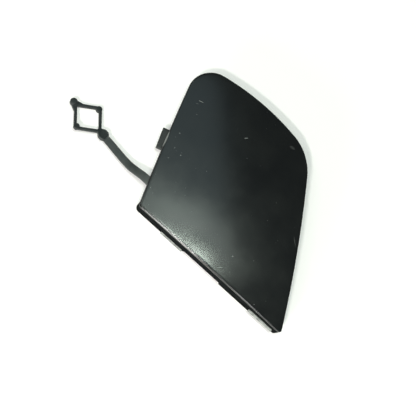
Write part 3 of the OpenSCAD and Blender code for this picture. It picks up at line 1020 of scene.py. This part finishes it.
solid = bmesh.new()
solid.from_mesh(loop.data)
domed_knob(solid, LOOP_LENGTH + KNOB_OUT, 0, KNOB_RADIUS, KNOB_HEIGHT, KNOB_EDGE)
for side in (-1, 1):
    nub_v = side * (half_width - NUB_INSIDE)
    domed_knob(solid, half_length, nub_v, NUB_RADIUS, BAR_HEIGHT + NUB_PROUD, NUB_EDGE)
shoulders = [(u, -v) for u, v in SHOULDER_HALF] + list(SHOULDER_HALF[::-1])
stacked(solid, [(shoulders, z) for z in SHOULDER_LEVELS])
lean = math.atan2(LOOP_WIDTH, LOOP_LENGTH)
web_u = LOOP_LENGTH - WEB_LENGTH * math.cos(lean) + BAR_WIDTH / 2 * math.sin(lean)
web_v = WEB_LENGTH * math.sin(lean) + BAR_WIDTH / 2 * math.cos(lean)
web_end = LOOP_LENGTH + 1.0, KNOB_RADIUS - 0.1
web = ((web_u, -web_v), (web_end[0], -web_end[1]), web_end, (web_u, web_v), (LOOP_LENGTH - WEB_NOTCH, 0))
stacked(solid, [(web, z) for z in WEB_LEVELS])
bmesh.ops.recalc_face_normals(solid, faces=solid.faces)
solid.to_mesh(loop.data)
solid.free()
fused = loop.modifiers.new("fuse", "REMESH")
fused.mode = "VOXEL"
fused.voxel_size = FUSE_VOXEL * MM
loop.modifiers.new("smooth", "SMOOTH").iterations = SMOOTH_PASSES
loop = made_plain(loop)
loop.data.materials.clear()
loop.data.materials.append(TETHER_BLACK)
loop_start = beside_strap(LOOP_U, 0) + PLAN_HOME
# the strap's own directions mirror the frame's, so the faces are turned out again after the move
to_strap = Matrix(((-math.cos(TETHER_ANGLE), math.sin(TETHER_ANGLE), 0, loop_start.x * MM),
                   (math.sin(TETHER_ANGLE), math.cos(TETHER_ANGLE), 0, loop_start.y * MM),
                   (0, 0, 1, LOOP_Z * MM), (0, 0, 0, 1)))
dip = Matrix.Rotation(LOOP_DIP, 4, "Y")
twist = Matrix.Rotation(-LOOP_TWIST, 4, "X")
drop = Matrix.Translation((0, 0, -BAR_HEIGHT / 2 * MM))
loop.data.transform(to_strap @ dip @ twist @ drop)
loop.data.flip_normals()
loop.data.shade_smooth()
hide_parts("cover")
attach(loop, "root")


# Floor. The cover lies on a plain white matt studio board, which keeps its soft shadow. The board is a flat
# grid, and its own colour and a share that only the camera and reflections see make it white.
BOARD_HALF = 3.0
SEEN_WHITE = 0.23


def studio_floor():
    mesh = bpy.data.meshes.new("floor")
    solid = bmesh.new()
    bmesh.ops.create_grid(solid, x_segments=12, y_segments=12, size=BOARD_HALF)
    solid.to_mesh(mesh)
    solid.free()
    made = bpy.data.objects.new("floor", mesh)
    bpy.context.scene.collection.objects.link(made)
    material = new_material("white floor", ior=1.5, shine=0.1)
    white = shader(material)
    white.inputs["Roughness"].default_value = 0.9
    clouds = grain(material, object_coords(material), 3.0)
    tint = patchy_tint(material, clouds, ((0.82, 0.80, 0.785), (0.85, 0.83, 0.815)), (0.0, 1.0))
    join(material, tint, white.inputs["Base Color"])
    tree = material.node_tree
    rays = node(material, "ShaderNodeLightPath").outputs
    seen = number(tree, "MAXIMUM", rays["Is Glossy Ray"], rays["Is Transmission Ray"])
    seen = number(tree, "MAXIMUM", rays["Is Camera Ray"], seen)
    join(material, number(tree, "MULTIPLY", seen, SEEN_WHITE), white.inputs["Emission Strength"])
    white.inputs["Emission Color"].default_value = (1, 1, 1, 1)
    mesh.materials.append(material)
    return made


floor = studio_floor()


# Light. Two wide dim panels hang over the left of the face, in line with the edge of its glow, with a lamp
# at their lower end. A lamp high in front draws the line on the fold and the strap's shadow, low windows in
# front and one at the left fill the fold, and the room is dim.
GLOW_TURN = math.radians(27.9)
GLOW_CORNER = Vector((-0.053, 0.36))
ROOM_GLOW = 0.08
HORIZON_GLOW = 0.20


def panel(name, centre, size, radiance, tint, aim=(0, 0, 0), turn=0.0):
    light = bpy.data.lights.new(name, "AREA")
    light.shape = "RECTANGLE"
    light.size, light.size_y = size
    light.energy = radiance * math.pi * size[0] * size[1]
    light.color = tint
    made = bpy.data.objects.new(name, light)
    centre, aim = Vector(centre), Vector(aim)
    facing = Matrix.Rotation(turn, 4, "Z")
    if aim.xy != centre.xy:
        facing = (aim - centre).to_track_quat("-Z", "Y").to_matrix().to_4x4() @ facing
    made.matrix_world = Matrix.Translation(centre) @ facing
    bpy.context.scene.collection.objects.link(made)


def glow_panel(name, aside, down, radiance, tint):
    """A level panel 1 m up. aside and down are its spans in metres from the glow edge's upper corner."""
    along = Vector((math.sin(GLOW_TURN), -math.cos(GLOW_TURN)))
    across = Vector((along.y, -along.x))
    centre = GLOW_CORNER + across * sum(aside) / 2 + along * sum(down) / 2
    size = (aside[1] - aside[0], down[1] - down[0])
    panel(name, (*centre, 1.0), size, radiance, tint, (*centre, 0.0), GLOW_TURN)


glow_panel("upper panel", aside=(0.0, 0.3), down=(-0.4, 0.42), radiance=0.6, tint=(0.76, 1.0, 1.06))
glow_panel("lower panel", aside=(0.0, 0.3), down=(0.14, 0.42), radiance=4.3, tint=(0.85, 1.0, 0.92))
glow_panel("lamp", aside=(0.06, 0.26), down=(0.335, 0.44), radiance=55.0, tint=(0.87, 1.0, 0.88))
panel("front lamp", centre=(0.0, -0.70, 1.0), size=(0.13, 0.08), radiance=190.0, tint=(1, 1, 0.96))
panel("front window", centre=(0.0, -1.65, 0.36), size=(0.22, 0.45), radiance=43.0, tint=(1, 1, 0.96))
panel("right front window", centre=(0.34, -1.65, 0.36), size=(0.12, 0.45), radiance=14.0, tint=(1, 1, 0.98))
panel("left window", centre=(-0.51, -0.26, 0.82), size=(0.22, 0.22), radiance=6.0, tint=(1, 0.99, 0.95))
world = bpy.data.worlds.new("room")
bpy.context.scene.world = world
world.use_nodes = True
sky = world.node_tree
direction = sky.nodes.new("ShaderNodeTexCoord").outputs["Generated"]
rise = sky.nodes.new("ShaderNodeSeparateXYZ")
sky.links.new(direction, rise.inputs[0])
level = number(sky, "SUBTRACT", 1.0, number(sky, "ABSOLUTE", rise.outputs["Z"]))
glow = number(sky, "MULTIPLY", number(sky, "MULTIPLY", level, level), HORIZON_GLOW)
backdrop = sky.nodes["Background"]
backdrop.inputs["Color"].default_value = (0.97, 1.0, 1.0, 1)
sky.links.new(number(sky, "ADD", glow, ROOM_GLOW), backdrop.inputs["Strength"])


# Camera. It stands high in front of the cover, about half a metre away, and is turned so that the lower edge
# runs down to the right. Its place, turns in degrees and lens lay the cover's outline on the photograph's.
CAMERA_PLACE = (-0.011669, -0.129709, 0.435956)
CAMERA_TURNS = (9.37513, -11.88811, 40.92893)
SENSOR_WIDTH = 36.0
LENS = 83.212
camera_data = bpy.data.cameras.new("camera")
camera_data.sensor_width = SENSOR_WIDTH
camera_data.lens = LENS
camera = bpy.data.objects.new("camera", camera_data)
camera_turn = Euler([math.radians(turn) for turn in CAMERA_TURNS])
camera.matrix_world = Matrix.Translation(CAMERA_PLACE) @ camera_turn.to_matrix().to_4x4()
bpy.context.scene.collection.objects.link(camera)
bpy.context.scene.camera = camera
bpy.context.scene.view_settings.view_transform = "Standard"
